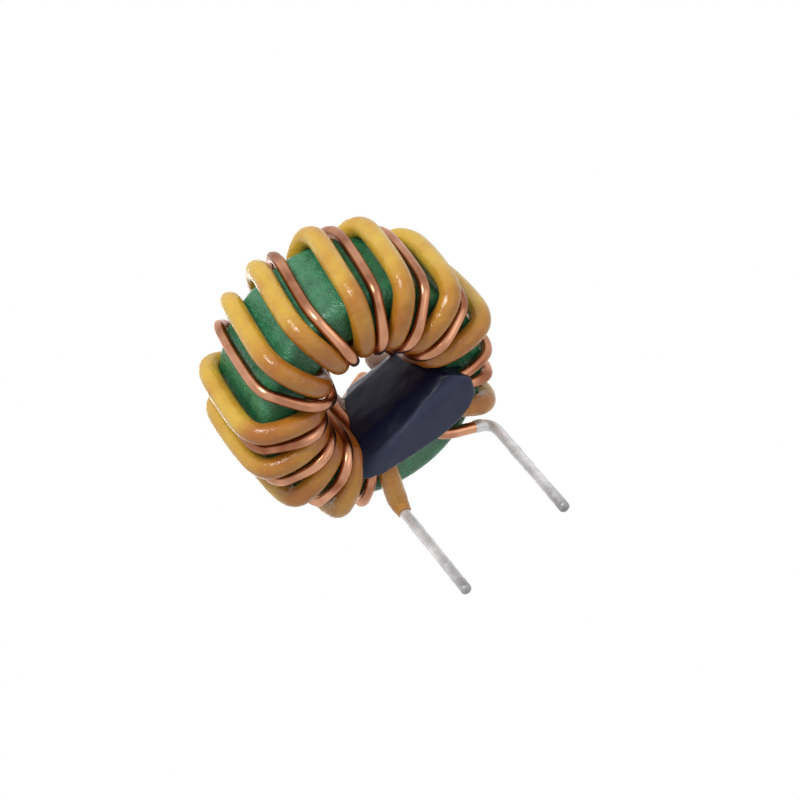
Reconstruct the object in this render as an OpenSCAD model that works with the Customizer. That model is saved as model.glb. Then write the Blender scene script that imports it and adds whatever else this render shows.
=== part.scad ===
// Two-wire toroidal inductor for a circuit board, leads down, axis of the ring along Z.
// The board's upper face is the plane z = 0, and the lead side of the ring faces it.

/* [Core] */
// Outer diameter of the coated ring
core_od = 14; // [13:0.1:18]
// Thickness of the coated ring between its bore and its outer wall
core_wall = 2.75; // [2.2:0.05:3.2]
// Height of the coated ring along its axis
core_h = 6.5; // [5:0.1:10]
// Radius of the ring's rounded edges
core_edge_r = 0.6; // [0.3:0.05:0.8]

/* [Wires] */
// Outer diameter of the thick wire over its jacket
jacket_d = 1.2; // [0.9:0.02:1.3]
// Diameter of the thin enamelled wire
enamel_d = 0.7; // [0.4:0.02:0.8]
// Most turns of each wire
max_turns = 11; // [8:1:11]
// Gap between neighbouring thick wires in the bore
bore_gap = 0.33; // [0.2:0.01:0.5]
// Clearance between a wire and the ring
wire_clear = 0.05; // [0.02:0.01:0.1]
// Clearance between two wires that lie against each other
nest_clear = 0.04; // [0.02:0.01:0.1]

/* [Leads] */
// Diameter of a tinned lead
lead_d = 0.65; // [0.4:0.01:0.7]
// Distance between the two leads
lead_pitch = 7.2; // [6.8:0.1:7.6]
// Sideways shift of the pair of leads from the ring's middle
lead_shift = 0.6; // [0.4:0.05:0.8]
// Gap between a lead and the ring's outer wall, measured along Y at the middle
lead_rim_gap = 0.1; // [0:0.05:0.6]
// Length of the leads below the board's upper face
lead_len = 7.8; // [4:0.1:12]
// Straight length of the thick wire's jacket below its bend
jacket_tail = 0.15; // [0.1:0.05:0.3]
// Radius of the thin wire's bend down into its lead, at the middle of the wire
lead_bend_r = 0.7; // [0.5:0.05:0.9]
// Bare length of the thin wire before that bend
lead_bare = 0.45; // [0.2:0.05:0.8]

/* [Compound] */
// Thickness of the compound in the bore, from the bore's wall to its flat face
fill_thick = 1.95; // [1.1:0.05:2.1]
// Depth of the compound in the bore, from the lead-side face
fill_depth = 4.8; // [3:0.1:6]
// How far the compound laps over the lead-side face
lip_w = 0.95; // [0.6:0.05:1.2]
// Thickness of the compound over the thick wire
lip_cover = 0.15; // [0.1:0.05:0.25]
// Width of compound to each side of the thin wire's last turn
lobe_side = 0.4; // [0.2:0.05:0.5]
// Clearance between the compound and what it surrounds
fill_clear = 0.05; // [0.02:0.01:0.1]

/* [Hidden] */
$fn = 96;

// Rings along each bend of a wire, and sides round each wire
bend_steps = 4;
jacket_sides = 12;
enamel_sides = 10;

// Outer places of the thick wire's turns, in degrees round the axis, and the place of its last turn.
// With fewer turns, they are spread over the same places.
jacket_angles = [141, 166, 190, 210, 245, 263, 291, 315, 341, 365];
jacket_last = 410;
// Spare angle between each thin turn and the thick turn that it lies beside
enamel_spare = [5.5, 6.5, 4.5, 2, 6.5, 2, 3.5, 4.5, 3.5, 10.5];
enamel_last_spare = 6.5;
// Bore angles: the first pass, the end of the wound sector, and the lean of each thick pass
bore_first = 118;
bore_end = 363.5;
bore_lean = 11;
// Lean of the last thick pass, which goes over to the thin wire's first one
last_lean = 66;
// Lean of each turn on the outer wall
outer_lean = 4;

// Wire and core radii
core_ro = core_od / 2;
core_ri = core_ro - core_wall;
jacket_r = jacket_d / 2;
enamel_r = enamel_d / 2;
lead_r = lead_d / 2;
touch = jacket_r + enamel_r + nest_clear;

// Distance of each wire's middle from the ring where it lies on it
jacket_lift = jacket_r + wire_clear;
enamel_lift = enamel_r + wire_clear;
jacket_in = core_ri - jacket_lift;
jacket_out = core_ro + jacket_lift;
enamel_out = core_ro + enamel_lift;

// Packing in the bore: thick wires lie on the wall, thin ones in the valleys between them
least_pitch = 2 * asin((jacket_r + bore_gap / 2) / jacket_in);
turns = min(max_turns, 1 + floor((bore_end - bore_first) / least_pitch));
bore_pitch = (bore_end - bore_first) / (turns - 1);
// First turn where the thin wire lies after the thick one instead of before it
swap_turn = ceil(turns / 2);
valley_side = jacket_in * sin(bore_pitch / 2);
valley_depth = sqrt(max(0, touch * touch - valley_side * valley_side));
valley_lift = max(enamel_lift, core_ri - (jacket_in * cos(bore_pitch / 2) - valley_depth));
over_lift = jacket_lift + touch;
last_lift = over_lift + jacket_in * (1 - cos(last_lean / 2));
far_lift = jacket_lift + enamel_r;

// Heights: the thin wire's lowest bends rest on the board, and the thick wire's end and the compound clear it
lip_h = jacket_d + wire_clear + fill_clear + lip_cover;
jacket_end_h = 2 * jacket_lift + jacket_tail;
core_low = max(valley_lift + enamel_r, lip_h, jacket_end_h);
core_high = core_low + core_h;
lip_low = core_low - lip_h;

// Leads
lead_y = core_ro + lead_rim_gap;
jacket_lead = [lead_shift - lead_pitch / 2, lead_y];
enamel_lead = [lead_shift + lead_pitch / 2, lead_y];
jacket_lead_z = core_low - jacket_end_h;
tip_z = -lead_len;

// The thin wire's last turn goes under the compound, turns back there and comes out to its lead
hairpin_angle = enamel_angle(turns);
hairpin_dir = [cos(hairpin_angle), sin(hairpin_angle)];
hairpin_side = [-sin(hairpin_angle), cos(hairpin_angle)];
hairpin_w = enamel_lead * hairpin_side;
hairpin_r = hairpin_w / 2;
hairpin_reach = enamel_lead * hairpin_dir;
hairpin_turn = core_ri + enamel_d / 2;
enamel_z = core_low - enamel_lift;
enamel_end = hairpin_reach - lead_bend_r - lead_bare;

// The thick wire's last turn ends under the compound
jacket_end_r = core_ri + jacket_r;

// Place of a point given by its distance from the axis, its angle and its height
function polar(r, a, z) = [r * cos(a), r * sin(a), z];
function flat_polar(r, a) = [r * cos(a), r * sin(a)];

// Angle between two wires that just touch, at their distances from the axis
function beside(r1, r2) = acos((r1 * r1 + r2 * r2 - touch * touch) / (2 * r1 * r2));

// Value for a turn, counted from 1, from a list that is spread over all turns but the last
function spread(list, j) =
    let (
        place = (j - 1) * (len(list) - 1) / (turns - 2),
        i = min(len(list) - 2, floor(place))
    )
    list[i] + (place - i) * (list[i + 1] - list[i]);

// Outer angle of each turn, counted from 1
function jacket_angle(j) = j == turns ? jacket_last : spread(jacket_angles, j);
function enamel_angle(j) =
    let (apart = beside(jacket_out, enamel_out))
    j == turns ? jacket_last - apart - enamel_last_spare :
    j < swap_turn ? jacket_angle(j) - apart - spread(enamel_spare, j) :
    jacket_angle(j) + apart + spread(enamel_spare, j);

// Bore angle of each thick pass at the lead side and at the far side
function jacket_bore(j) = bore_first + (j - 1) * bore_pitch;
function jacket_lean(j) = j == turns ? last_lean : bore_lean;

// Valley that each thin pass takes at the lead side and at the far side
function enamel_bore_low(j) = jacket_bore(j <= swap_turn ? j - 0.5 : j + 0.5);
function enamel_bore_high(j) = bore_lean + jacket_bore(j < swap_turn ? j - 0.5 : j + 0.5);
// Passes that cross a thick wire in the bore ride over it
function enamel_bore_lift(j) = j == turns ? last_lift : j == swap_turn ? over_lift : valley_lift;

// A bend of the section, from angle a0 to a1 about a centre, with its radii along R and Z
function bend(r, z, radius_r, radius_z, a0, a1) = [
    for (i = [0 : bend_steps])
        let (a = a0 + (a1 - a0) * i / bend_steps)
        [r + radius_r * cos(a), z + radius_z * sin(a)]
];

// The four bends of a turn, by the wire's lift from the ring along R and along Z
inner_centre = core_ri + core_edge_r;
outer_centre = core_ro - core_edge_r;
low_centre = core_low + core_edge_r;
high_centre = core_high - core_edge_r;
function low_inner(lift_r, lift_z) =
    bend(inner_centre, low_centre, core_edge_r + lift_r, core_edge_r + lift_z, 270, 180);
function high_inner(lift_r, lift_z) =
    bend(inner_centre, high_centre, core_edge_r + lift_r, core_edge_r + lift_z, 180, 90);
function high_outer(lift_r, lift_z) =
    bend(outer_centre, high_centre, core_edge_r + lift_r, core_edge_r + lift_z, 90, 0);
function low_outer(lift) =
    bend(outer_centre, low_centre, core_edge_r + lift, core_edge_r + lift, 0, -90);

// Length of a section path up to each of its points
function lengths(path) = [
    for (
        i = 0, sum = 0;
        i < len(path);
        i = i + 1, sum = i < len(path) ? sum + norm(path[i] - path[i - 1]) : sum
    ) sum
];

// A section path that leans smoothly from one angle to another on its way
function eased(s) = s * s * (3 - 2 * s);
function leaned(path, a0, a1) =
    let (run = lengths(path), total = run[len(run) - 1])
    [
        for (i = [0 : len(path) - 1])
            polar(path[i][0], a0 + (a1 - a0) * eased(run[i] / total), path[i][1])
    ];

// Joins a list of point lists into one path
function joined(lists) = [for (part = lists) for (p = part) p];

// Path of the thick wire: up from its lead, in over the lead-side face, then turn by turn
jacket_lead_r = norm(jacket_lead);
jacket_lead_angle = atan2(jacket_lead[1], jacket_lead[0]);
function jacket_start() =
    let (
        corner = bend(
            jacket_lead_r - jacket_lift, core_low - 2 * jacket_lift, jacket_lift, jacket_lift, 0, 90
        )
    )
    concat(
        [polar(jacket_lead_r, jacket_lead_angle, jacket_lead_z)],
        leaned(concat(corner, low_inner(jacket_lift, jacket_lift)), jacket_lead_angle, bore_first)
    );
function jacket_high(j) = leaned(
    concat(high_inner(jacket_lift, jacket_lift), high_outer(jacket_lift, jacket_lift)),
    jacket_bore(j) + jacket_lean(j), jacket_angle(j) + outer_lean
);
function jacket_low(j) = j < turns ?
    leaned(
        concat(low_outer(jacket_lift), low_inner(jacket_lift, jacket_lift)),
        jacket_angle(j), jacket_bore(j + 1)
    ) :
    leaned(
        concat(low_outer(jacket_lift), [[jacket_end_r, core_low - jacket_lift]]),
        jacket_last, jacket_last
    );
jacket_path = concat(
    jacket_start(),
    joined([for (j = [1 : turns]) concat(jacket_high(j), jacket_low(j))])
);

// Path of the thin wire: from its joint under the compound, turn by turn, then back out to its lead
enamel_joint_r = core_ri - enamel_lift;
enamel_joint_angle = bore_first - beside(jacket_in, enamel_joint_r);
enamel_joint_z = core_low + core_edge_r;
// It comes out of the joint beside the last thick pass
enamel_joint_far = jacket_bore(turns) + last_lean - 360 + beside(jacket_in, enamel_joint_r);
function enamel_high(j) = leaned(
    concat(
        high_inner(j == 1 ? enamel_lift : enamel_bore_lift(j), j == 1 ? enamel_lift : over_lift),
        high_outer(enamel_lift, j == 1 ? enamel_lift : far_lift)
    ),
    j == 1 ? enamel_joint_far : enamel_bore_high(j), enamel_angle(j) + outer_lean
);
function enamel_low(j) = j < turns ?
    leaned(
        concat(low_outer(enamel_lift), low_inner(enamel_bore_lift(j + 1), valley_lift)),
        enamel_angle(j), enamel_bore_low(j + 1)
    ) :
    leaned(low_outer(enamel_lift), enamel_angle(j), enamel_angle(j));
function hairpin_point(along, across) =
    let (p = along * hairpin_dir + across * hairpin_side)
    [p[0], p[1], enamel_z];
hairpin_steps = 3 * bend_steps;
function hairpin() = concat(
    [
        for (i = [0 : hairpin_steps])
            let (a = 180 * i / hairpin_steps)
            hairpin_point(hairpin_turn - hairpin_r * sin(a), hairpin_r - hairpin_r * cos(a))
    ],
    [hairpin_point(enamel_end, hairpin_w)]
);
enamel_path = concat(
    [polar(enamel_joint_r, enamel_joint_angle, enamel_joint_z)],
    joined([for (j = [1 : turns]) concat(enamel_high(j), enamel_low(j))]),
    hairpin()
);

// Unit vector, and the direction of a path at each of its points
function unit(v) = v / norm(v);
function heading(path, i) =
    let (last = len(path) - 1)
    i == 0 ? unit(path[1] - path[0]) :
    i == last ? unit(path[last] - path[last - 1]) :
    unit(unit(path[i + 1] - path[i]) + unit(path[i] - path[i - 1]));

// The part of a side vector that is square to a heading
function squared(side, along) = unit(side - (side * along) * along);

// Side vectors carried along a path, so that the section never twists
function carried(path, first) = [
    for (
        i = 0, side = squared(first, heading(path, 0));
        i < len(path);
        i = i + 1, side = i < len(path) ? squared(side, heading(path, i)) : side
    ) side
];

// A round wire along a path, with a first side vector that isn't along its start
module wire(path, radius, sides, first) {
    side_list = carried(path, first);
    count = len(path);
    points = [
        for (i = [0 : count - 1])
            let (along = heading(path, i), side = side_list[i], other = cross(along, side))
            for (s = [0 : sides - 1])
                let (a = 360 * s / sides)
                path[i] + radius * (cos(a) * side + sin(a) * other)
    ];
    walls = [
        for (i = [0 : count - 2], s = [0 : sides - 1])
            let (next = (s + 1) % sides)
            [i * sides + s, (i + 1) * sides + s, (i + 1) * sides + next, i * sides + next]
    ];
    start_cap = [for (s = [0 : sides - 1]) s];
    end_cap = [for (s = [sides - 1 : -1 : 0]) (count - 1) * sides + s];
    polyhedron(points, concat([start_cap], walls, [end_cap]), convexity = 20);
}

// Ring with rounded edges, turned from its section
module toroid_core() {
    straight_w = outer_centre - inner_centre;
    color("seagreen")
        translate([0, 0, core_low])
            rotate_extrude() {
                translate([inner_centre, 0])
                    square([straight_w, core_h]);
                translate([core_ri, core_edge_r])
                    square([core_ro - core_ri, core_h - 2 * core_edge_r]);
                for (r = [inner_centre, outer_centre], z = [core_edge_r, core_h - core_edge_r])
                    translate([r, z])
                        circle(core_edge_r);
            }
}

module insulated_winding() {
    color("goldenrod")
        wire(jacket_path, jacket_r, jacket_sides, [jacket_lead[1], -jacket_lead[0], 0]);
}

module enamelled_winding() {
    color("peru")
        wire(enamel_path, enamel_r, enamel_sides, [1, 0, 0]);
}

// Peg inside a lead that ties two of its lengths together where they meet
module lead_peg() {
    cylinder(r = lead_r / 2, h = lead_r / 2, center = true);
}

// Straight tinned wire that ends in a small taper
module lead_tip(high_z) {
    taper = lead_r / 2;
    translate([0, 0, tip_z + taper]) {
        cylinder(r = lead_r, h = high_z - tip_z - taper);
        lead_peg();
    }
    translate([0, 0, tip_z])
        cylinder(r1 = lead_r - taper, r2 = lead_r, h = taper);
}

// Stripped end of the thick wire
module insulated_lead() {
    color("lightgray")
        translate([jacket_lead[0], jacket_lead[1], 0])
            lead_tip(jacket_lead_z);
}

// Tinned end of the thin wire: a short run, a bend and the straight pin
module enamelled_lead() {
    color("lightgray")
        translate([enamel_lead[0], enamel_lead[1], 0]) {
            lead_tip(enamel_z - lead_bend_r);
            translate([0, 0, enamel_z - lead_bend_r])
                lead_peg();
            rotate([0, 0, hairpin_angle])
                translate([-lead_bend_r, 0, enamel_z]) {
                    rotate([0, -90, 0]) {
                        cylinder(r = lead_r, h = lead_bare);
                        lead_peg();
                    }
                    translate([0, 0, -lead_bend_r])
                        rotate([90, 0, 0])
                            rotate_extrude(angle = 90)
                                translate([lead_bend_r, 0])
                                    circle(lead_r);
                }
        }
}

// Flat strip between two points, with round ends
module strip(p, q, w) {
    reach = q - p;
    translate(p) {
        circle(d = w);
        rotate(atan2(reach[1], reach[0]))
            translate([0, -w / 2])
                square([norm(reach), w]);
    }
    translate(q)
        circle(d = w);
}

// The same with square ends
module slot(p, q, w) {
    reach = q - p;
    translate(p)
        rotate(atan2(reach[1], reach[0]))
            translate([-w / 2, -w / 2])
                square([norm(reach) + w, w]);
}

// Half plane above a height, out to the ring's rim
module above(level) {
    translate([-core_ro, level])
        square([core_od, core_ro]);
}

// Room that the compound leaves for each wire, most of them seen along the axis
module jacket_entry_room() {
    strip(jacket_lead, flat_polar(jacket_in, bore_first), jacket_d + 2 * fill_clear);
}
module jacket_pass_room() {
    strip(
        flat_polar(jacket_in, bore_first), flat_polar(jacket_in, bore_first + bore_lean),
        jacket_d + 3 * fill_clear
    );
}
module jacket_last_room() {
    strip(
        flat_polar(jacket_end_r, jacket_last), flat_polar(jacket_out, jacket_last),
        jacket_d + 2 * fill_clear
    );
}
module jacket_last_pass_room() {
    start = polar(jacket_in, jacket_bore(turns), low_centre);
    reach = polar(jacket_in, jacket_bore(turns) + last_lean, high_centre) - start;
    translate(start)
        rotate([0, acos(reach[2] / norm(reach)), atan2(reach[1], reach[0])])
            cylinder(r = jacket_r + fill_clear, h = norm(reach) + jacket_d);
}
module enamel_joint_room() {
    slot(
        flat_polar(enamel_joint_r, enamel_joint_angle),
        flat_polar(enamel_joint_r, enamel_joint_far),
        enamel_d + 4 * fill_clear
    );
    strip(flat_polar(core_ri, enamel_joint_angle), flat_polar(core_ri, bore_first), enamel_d);
}
module hairpin_band(w) {
    translate([hairpin_turn, hairpin_r])
        intersection() {
            difference() {
                circle(hairpin_r + w / 2);
                circle(hairpin_r - w / 2);
            }
            translate([-core_ro, -core_ro])
                square([core_ro, core_od]);
        }
}
module hairpin_room() {
    w = enamel_d + 2 * fill_clear;
    rotate(hairpin_angle) {
        strip([hairpin_turn, 0], [enamel_out, 0], w);
        strip([hairpin_turn, hairpin_w], [hairpin_reach, hairpin_w], w);
        hairpin_band(w);
    }
}

// Raised slab of a flat shape between two heights
module slab(low, high) {
    translate([0, 0, low])
        linear_extrude(high - low)
            children();
}

// Distance from the ring's axis to the compound's flat face
fill_level = core_ri - fill_thick;

// Outline of the lip on the lead-side face, ended short of the first thin turn
lip_r = core_ri + lip_w;
lip_left = enamel_angle(1) - asin((enamel_r + 2 * fill_clear) / core_ri);
module fill_outline(r, left) {
    intersection() {
        circle(r);
        above(fill_level);
        rotate(left - 180)
            translate([-core_ro, 0])
                square([core_od, core_ro]);
    }
}
module lobe_outline() {
    w = enamel_d + 2 * lobe_side;
    rotate(hairpin_angle) {
        strip([hairpin_turn, 0], [lip_r, 0], w);
        intersection() {
            hairpin_band(w);
            circle(lip_r - fill_clear);
        }
    }
}

// Fixing compound: a flat-topped fill in the bore with a lip over the lead-side face
module bore_compound() {
    face_low = core_low - fill_clear;
    far_z = core_low + fill_depth;
    past_z = core_high;
    color("midnightblue")
        difference() {
            union() {
                slab(lip_low, far_z)
                    fill_outline(core_ri - fill_clear, bore_first);
                slab(lip_low, face_low) {
                    fill_outline(lip_r, lip_left);
                    lobe_outline();
                }
            }
            slab(lip_low + lip_cover, core_low + core_edge_r)
                jacket_entry_room();
            slab(lip_low + lip_cover, past_z)
                jacket_pass_room();
            slab(lip_low + lip_cover, core_low)
                jacket_last_room();
            jacket_last_pass_room();
            slab(enamel_joint_z - 2 * fill_clear, past_z)
                enamel_joint_room();
            slab(enamel_z - enamel_r - fill_clear, core_low)
                hairpin_room();
        }
}

toroid_core();
insulated_winding();
enamelled_winding();
insulated_lead();
enamelled_lead();
bore_compound();
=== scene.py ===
"""Looks of a two-wire toroidal inductor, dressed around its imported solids."""
import logging
import math
from dataclasses import dataclass, field
from enum import Enum
from typing import Sequence

import bpy
import numpy as np
from mathutils import Matrix, Vector, noise


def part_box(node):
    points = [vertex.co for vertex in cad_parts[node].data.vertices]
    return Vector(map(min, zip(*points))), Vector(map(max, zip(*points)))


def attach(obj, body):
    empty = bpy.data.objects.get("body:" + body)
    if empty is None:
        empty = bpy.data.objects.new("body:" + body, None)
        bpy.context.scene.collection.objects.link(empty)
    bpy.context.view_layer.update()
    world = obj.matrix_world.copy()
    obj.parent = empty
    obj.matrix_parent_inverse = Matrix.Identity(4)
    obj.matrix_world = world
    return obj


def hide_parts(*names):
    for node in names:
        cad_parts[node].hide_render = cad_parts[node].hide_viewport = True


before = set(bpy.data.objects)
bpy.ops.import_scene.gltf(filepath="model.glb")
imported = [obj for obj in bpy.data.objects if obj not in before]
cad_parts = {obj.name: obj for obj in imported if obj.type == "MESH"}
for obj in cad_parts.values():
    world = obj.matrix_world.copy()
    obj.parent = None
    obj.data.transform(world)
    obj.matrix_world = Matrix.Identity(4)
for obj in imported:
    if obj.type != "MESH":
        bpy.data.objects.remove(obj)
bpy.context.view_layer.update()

MM = 0.001  # One millimetre in metres
WELD = 1e-7  # Corners nearer than this, in metres, are one
TINY = 1e-9  # Keeps a division away from nought
BODY = "root"
LOG = logging.getLogger("inductor")

Colour = tuple[float, float, float]
Point = tuple[float, float, float]
Pair = tuple[float, float]
Piece = bpy.types.Object
Material = bpy.types.Material
Socket = bpy.types.NodeSocket
Tree = bpy.types.NodeTree


class Slot(Enum):
    """Material slots of the record."""

    CORE = "core_coat"
    JACKET = "jacket"
    ENAMEL = "enamel"
    TIN = "tin"
    COMPOUND = "compound"


class Side(Enum):
    """The two flat faces of the ring."""

    LEAD = "lead"
    FAR = "far"


# Shader helpers


def linear(colour: Colour) -> tuple[float, float, float, float]:
    """Turns a colour as seen on screen into the shader's linear values.

    Args:
        colour: Red, green and blue from 0 to 255.

    Returns:
        Linear red, green and blue with full alpha.
    """

    def channel(value: float) -> float:
        """One channel of the standard screen curve."""
        share = value / 255
        return share / 12.92 if share <= 0.04045 else ((share + 0.055) / 1.055) ** 2.4

    red, green, blue = (channel(value) for value in colour)
    return red, green, blue, 1.0


def empty_tree(owner: Material | bpy.types.World) -> Tree:
    """Gives a material or the world a node tree with nothing in it."""
    owner.use_nodes = True
    owner.node_tree.nodes.clear()
    return owner.node_tree


def add_node(tree: Tree, kind: str, **values: object) -> bpy.types.Node:
    """Adds a node with constants or links on its own sockets.

    Args:
        tree: Where the node goes.
        kind: Type of the node.
        values: Names of sockets, with underscores for spaces, and what they hold or are linked to.

    Returns:
        The node.
    """
    node = tree.nodes.new(kind)
    for name, value in values.items():
        socket = node.inputs[name.replace("_", " ")]
        if isinstance(value, Socket):
            tree.links.new(value, socket)
        else:
            socket.default_value = value
    return node


def show_mix(tree: Tree, output: str, share: Socket, first: bpy.types.Node, second: bpy.types.Node) -> None:
    """Sends two shaders, mixed by a share of the second, to a new output."""
    mix = add_node(tree, "ShaderNodeMixShader", Fac=share)
    tree.links.new(first.outputs[0], mix.inputs[1])
    tree.links.new(second.outputs[0], mix.inputs[2])
    add_node(tree, output, Surface=mix.outputs[0])


@dataclass(frozen=True)
class Grain:
    """A noise pattern, with its height in millimetres where it is raised."""

    per_mm: float
    octaves: float = 2.0
    rough: float = 0.5
    bend: float = 0.0
    height: float = 0.0


class NodeDesk:
    """Lays out the nodes of one material."""

    def __init__(self, name: str, **values: object) -> None:
        """Starts a material with an output and a shader.

        Args:
            name: Name of the material.
            values: Constants for the shader's own sockets, as for add_node.
        """
        self.material = bpy.data.materials.new(name)
        self.tree = empty_tree(self.material)
        self.shader = add_node(self.tree, "ShaderNodeBsdfPrincipled", **values)
        add_node(self.tree, "ShaderNodeOutputMaterial", Surface=self.shader.outputs["BSDF"])
        self.place = self.tree.nodes.new("ShaderNodeTexCoord").outputs["Object"]

    def join(self, start: Socket, end: Socket) -> None:
        """Links two sockets."""
        self.tree.links.new(start, end)

    def noise(self, grain: Grain) -> Socket:
        """The value of a noise pattern on object coordinates."""
        node = add_node(self.tree, "ShaderNodeTexNoise", Vector=self.place, Scale=grain.per_mm / MM,
                        Detail=grain.octaves, Roughness=grain.rough, Distortion=grain.bend)
        return node.outputs["Fac"]

    def ramp(self, value: Socket, stops: Pair, colours: tuple[Colour, Colour]) -> Socket:
        """Colours a value.

        Args:
            value: What is coloured.
            stops: Values from 0 to 1 where the two colours are full.
            colours: The two screen colours.

        Returns:
            The colour.
        """
        node = add_node(self.tree, "ShaderNodeValToRGB", Fac=value)
        for element, stop, colour in zip(node.color_ramp.elements, stops, colours):
            element.position = stop
            element.color = linear(colour)
        return node.outputs["Color"]

    def fade(self, value: Socket, span: Pair, low: float, high: float) -> Socket:
        """Fades from one number to another along a length.

        Args:
            value: A length in metres.
            span: Lengths in millimetres where the fading starts and ends.
            low: Result up to the start.
            high: Result from the end on.

        Returns:
            The faded number.
        """
        node = add_node(self.tree, "ShaderNodeMapRange", Value=value, From_Min=span[0] * MM,
                        From_Max=span[1] * MM, To_Min=low, To_Max=high)
        return node.outputs["Result"]

    def blend(self, share: Socket, first: Socket, second: Socket) -> Socket:
        """Mixes two colours by a share of the second."""
        node = self.tree.nodes.new("ShaderNodeMix")
        node.data_type = "RGBA"
        # This node's colour sockets share their names with others, so they are counted
        self.join(share, node.inputs[0])
        self.join(first, node.inputs[6])
        self.join(second, node.inputs[7])
        return node.outputs[2]

    def height(self) -> Socket:
        """Height above the board's face, in metres."""
        return add_node(self.tree, "ShaderNodeSeparateXYZ", Vector=self.place).outputs["Z"]

    def reach(self) -> Socket:
        """Distance from the ring's axis, in metres."""
        flat = self.tree.nodes.new("ShaderNodeVectorMath")
        flat.operation = "MULTIPLY"
        flat.inputs[1].default_value = (1, 1, 0)
        length = self.tree.nodes.new("ShaderNodeVectorMath")
        length.operation = "LENGTH"
        self.join(self.place, flat.inputs[0])
        self.join(flat.outputs["Vector"], length.inputs[0])
        return length.outputs["Value"]

    def dress(self, colour: Socket, *grains: Grain) -> Material:
        """Gives the shader its colour and raises patterns on it, each on the one before.

        Args:
            colour: The shader's own colour.
            grains: The patterns.

        Returns:
            The material.
        """
        self.join(colour, self.shader.inputs["Base Color"])
        under = None
        for grain in grains:
            node = add_node(self.tree, "ShaderNodeBump", Height=self.noise(grain),
                            Distance=grain.height * MM, Strength=1.0)
            if under is not None:
                self.join(under, node.inputs["Normal"])
            under = node.outputs["Normal"]
        self.join(under, self.shader.inputs["Normal"])
        return self.material


# Finishes


@dataclass(frozen=True)
class EpoxyCoat:
    """Green epoxy powder coat of the ring."""

    deep: Colour = (40, 104, 70)
    bright: Colour = (58, 136, 92)
    stops: Pair = (0.35, 0.68)
    roughness: float = 0.22
    specular: float = 0.5
    clouds: Grain = Grain(0.9, 3)
    peel: Grain = Grain(1.8, 1, height=0.03)
    grains: Grain = Grain(5.5, bend=0.6, height=0.085)

    def build(self) -> Material:
        """Makes the material."""
        desk = NodeDesk("green_epoxy", Roughness=self.roughness, Specular_IOR_Level=self.specular)
        green = desk.ramp(desk.noise(self.clouds), self.stops, (self.deep, self.bright))
        return desk.dress(green, self.peel, self.grains)


@dataclass(frozen=True)
class AmberJacket:
    """Translucent amber plastic over the thick wire, with painted shade: browner by the leads and in the
    bore.

    Spans are in millimetres: of height for low and far, from the ring's axis for bore.
    """

    pale: Colour = (214, 174, 60)
    amber: Colour = (200, 146, 46)
    # Brown and deep are painted shade, for the lead-side face and the bore.
    brown: Colour = (174, 107, 35)
    deep: Colour = (168, 93, 30)
    outer_stops: Pair = (0.32, 0.58)
    half_shade_stops: Pair = (0.4, 0.75)
    shade_stops: Pair = (0.3, 0.7)
    low_span: Pair = (1.3, 2.8)
    far_span: Pair = (3.7, 5.7)
    bore_span: Pair = (3.6, 4.8)
    roughness: float = 0.19
    glow: float = 0.2
    glow_depth: float = 0.35
    glow_radius: Colour = (1.0, 0.5, 0.12)
    clouds: Grain = Grain(0.45, 3)
    creases: Grain = Grain(1.3, bend=1.5, height=0.05)
    ripples: Grain = Grain(4.0, rough=0.6, bend=0.8, height=0.03)

    def build(self) -> Material:
        """Makes the material."""
        desk = NodeDesk("amber_jacket", Roughness=self.roughness, Subsurface_Weight=self.glow,
                        Subsurface_Scale=self.glow_depth * MM, Subsurface_Radius=self.glow_radius)
        cloud = desk.noise(self.clouds)
        outer = desk.ramp(cloud, self.outer_stops, (self.amber, self.pale))
        # Painted shade: browner tones on the lead-side face and in the bore, darkest in the bore's lower,
        # lead-side part.
        half_shade = desk.ramp(cloud, self.half_shade_stops, (self.brown, self.amber))
        shade = desk.ramp(cloud, self.shade_stops, (self.deep, self.brown))
        low = desk.fade(desk.height(), self.low_span, 1.0, 0.0)
        far = desk.fade(desk.height(), self.far_span, 0.0, 1.0)
        bore = desk.fade(desk.reach(), self.bore_span, 1.0, 0.0)
        amber = desk.blend(bore, desk.blend(low, outer, half_shade), desk.blend(far, shade, half_shade))
        return desk.dress(amber, self.creases, self.ripples)


@dataclass(frozen=True)
class CopperEnamel:
    """Clear enamel on bright copper."""

    dark: Colour = (142, 87, 60)
    light: Colour = (208, 152, 120)
    stops: Pair = (0.3, 0.7)
    metallic: float = 1.0
    roughness: float = 0.24
    clouds: Grain = Grain(0.5)
    dents: Grain = Grain(1.2, height=0.015)

    def build(self) -> Material:
        """Makes the material."""
        desk = NodeDesk("copper_enamel", Metallic=self.metallic, Roughness=self.roughness)
        copper = desk.ramp(desk.noise(self.clouds), self.stops, (self.dark, self.light))
        return desk.dress(copper, self.dents)


@dataclass(frozen=True)
class DippedTin:
    """Solder left on a dipped lead, darker towards the tip, over a span of height in millimetres."""

    dull: Colour = (208, 208, 210)
    bright: Colour = (238, 238, 240)
    tip: Colour = (150, 150, 152)
    shaft_stops: Pair = (0.35, 0.65)
    tip_stops: Pair = (0.3, 0.8)
    tip_span: Pair = (-7.6, -4.3)
    metallic: float = 0.4
    roughness: float = 0.42
    clouds: Grain = Grain(0.9, 3)
    dents: Grain = Grain(2.0, height=0.02)

    def build(self) -> Material:
        """Makes the material."""
        desk = NodeDesk("dipped_tin", Metallic=self.metallic, Roughness=self.roughness)
        cloud = desk.noise(self.clouds)
        shaft = desk.ramp(cloud, self.shaft_stops, (self.dull, self.bright))
        end = desk.ramp(cloud, self.tip_stops, (self.tip, self.dull))
        low = desk.fade(desk.height(), self.tip_span, 1.0, 0.0)
        return desk.dress(desk.blend(low, shaft, end), self.dents)


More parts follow.
